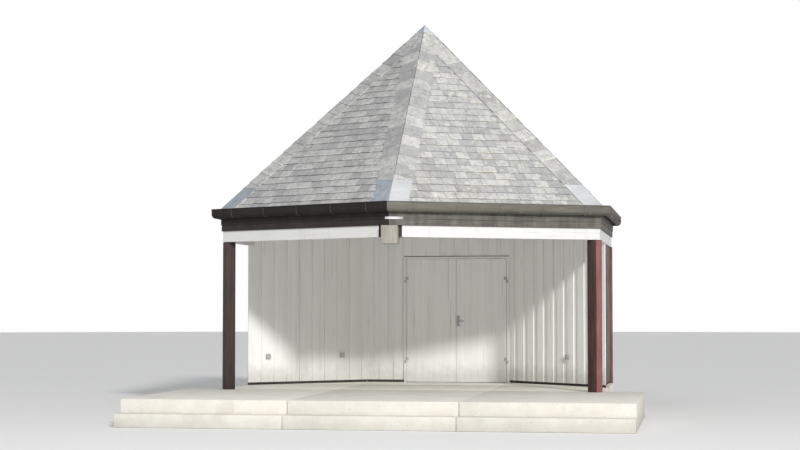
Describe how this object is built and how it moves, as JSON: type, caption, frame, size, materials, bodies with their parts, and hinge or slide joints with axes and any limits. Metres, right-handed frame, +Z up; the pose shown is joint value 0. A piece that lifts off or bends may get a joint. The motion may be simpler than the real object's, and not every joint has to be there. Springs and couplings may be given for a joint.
{
  "type": "open-fronted hexagonal bandstand",
  "caption": "Hexagonal stage pavilion with a slate pyramid roof, an open front corner, a white boarded backdrop with a double door, a back room and a low stage platform.",
  "frame": {"origin": "on the ground under the apex of the roof, at the centre of the hexagon", "axes": "+Z up, -Y towards the audience through the open front corner, +X to the right seen from the audience"},
  "size_m": [7.2, 8.6501, 6.3229],
  "materials": {
    "stage_concrete": "pale cast concrete, trowelled, a little dirty",
    "red_brown_timber": "red-brown stained timber, faded",
    "white_timber": "white painted timber, satin",
    "grey_timber": "bare timber, weathered to pale grey",
    "inner_timber": "sawn softwood",
    "slate": "grey split slate with lichen",
    "grey_metal": "dull bluish grey sheet metal",
    "dark_timber": "dark brown stained boards, weathered",
    "dark_metal": "dark brown coated sheet metal, dull",
    "grey_fitting": "light grey plastic"
  },
  "bodies": {
    "pavilion": {"stage_platform": "stage_concrete", "front_step": "stage_concrete", "post_front_right": "red_brown_timber", "post_rear_right": "red_brown_timber", "post_rear": "red_brown_timber", "post_rear_left": "red_brown_timber", "post_front_left": "red_brown_timber", "beam_front_right": "white_timber", "beam_right": "white_timber", "beam_rear_right": "white_timber", "beam_rear_left": "white_timber", "beam_left": "white_timber", "beam_front_left": "white_timber", "corner_pendant": "grey_timber", "roof_frame": "inner_timber", "ceiling": "white_timber", "roof_front_right": "slate", "roof_right": "slate", "roof_rear_right": "slate", "roof_rear_left": "slate", "roof_left": "slate", "roof_front_left": "slate", "hip_strips": "slate", "hip_feet": "grey_metal", "apex_cap": "grey_metal", "fascia": "dark_timber", "gutter_front_right": "dark_metal", "gutter_right": "dark_metal", "gutter_rear_right": "dark_metal", "gutter_rear_left": "dark_metal", "gutter_left": "dark_metal", "gutter_front_left": "dark_metal", "gutter_brackets": "dark_metal", "downpipe": "dark_metal", "wing_wall_left": "white_timber", "wing_wall_right": "white_timber", "back_wall": "white_timber", "door_header": "white_timber", "door_frame": "white_timber", "side_wall_right": "dark_timber", "rear_wall_right": "dark_timber", "rear_wall_left": "dark_timber", "side_wall_left": "dark_timber", "wall_sockets": "grey_fitting"},
    "left_door": {"door_left_leaf": "white_timber"},
    "right_door": {"door_right_leaf": "white_timber", "door_handle": "grey_metal"}
  },
  "joints": [
    {"name": "left_door_hinge", "type": "hinge", "parent": "pavilion", "child": "left_door", "pos_m": [-0.5505, 1.395, 1.44], "axis": [0, 0, -1], "range_deg": [0, 110]},
    {"name": "right_door_hinge", "type": "hinge", "parent": "pavilion", "child": "right_door", "pos_m": [1.1875, 1.395, 1.44], "axis": [0, 0, 1], "range_deg": [0, 110]}
  ]
}
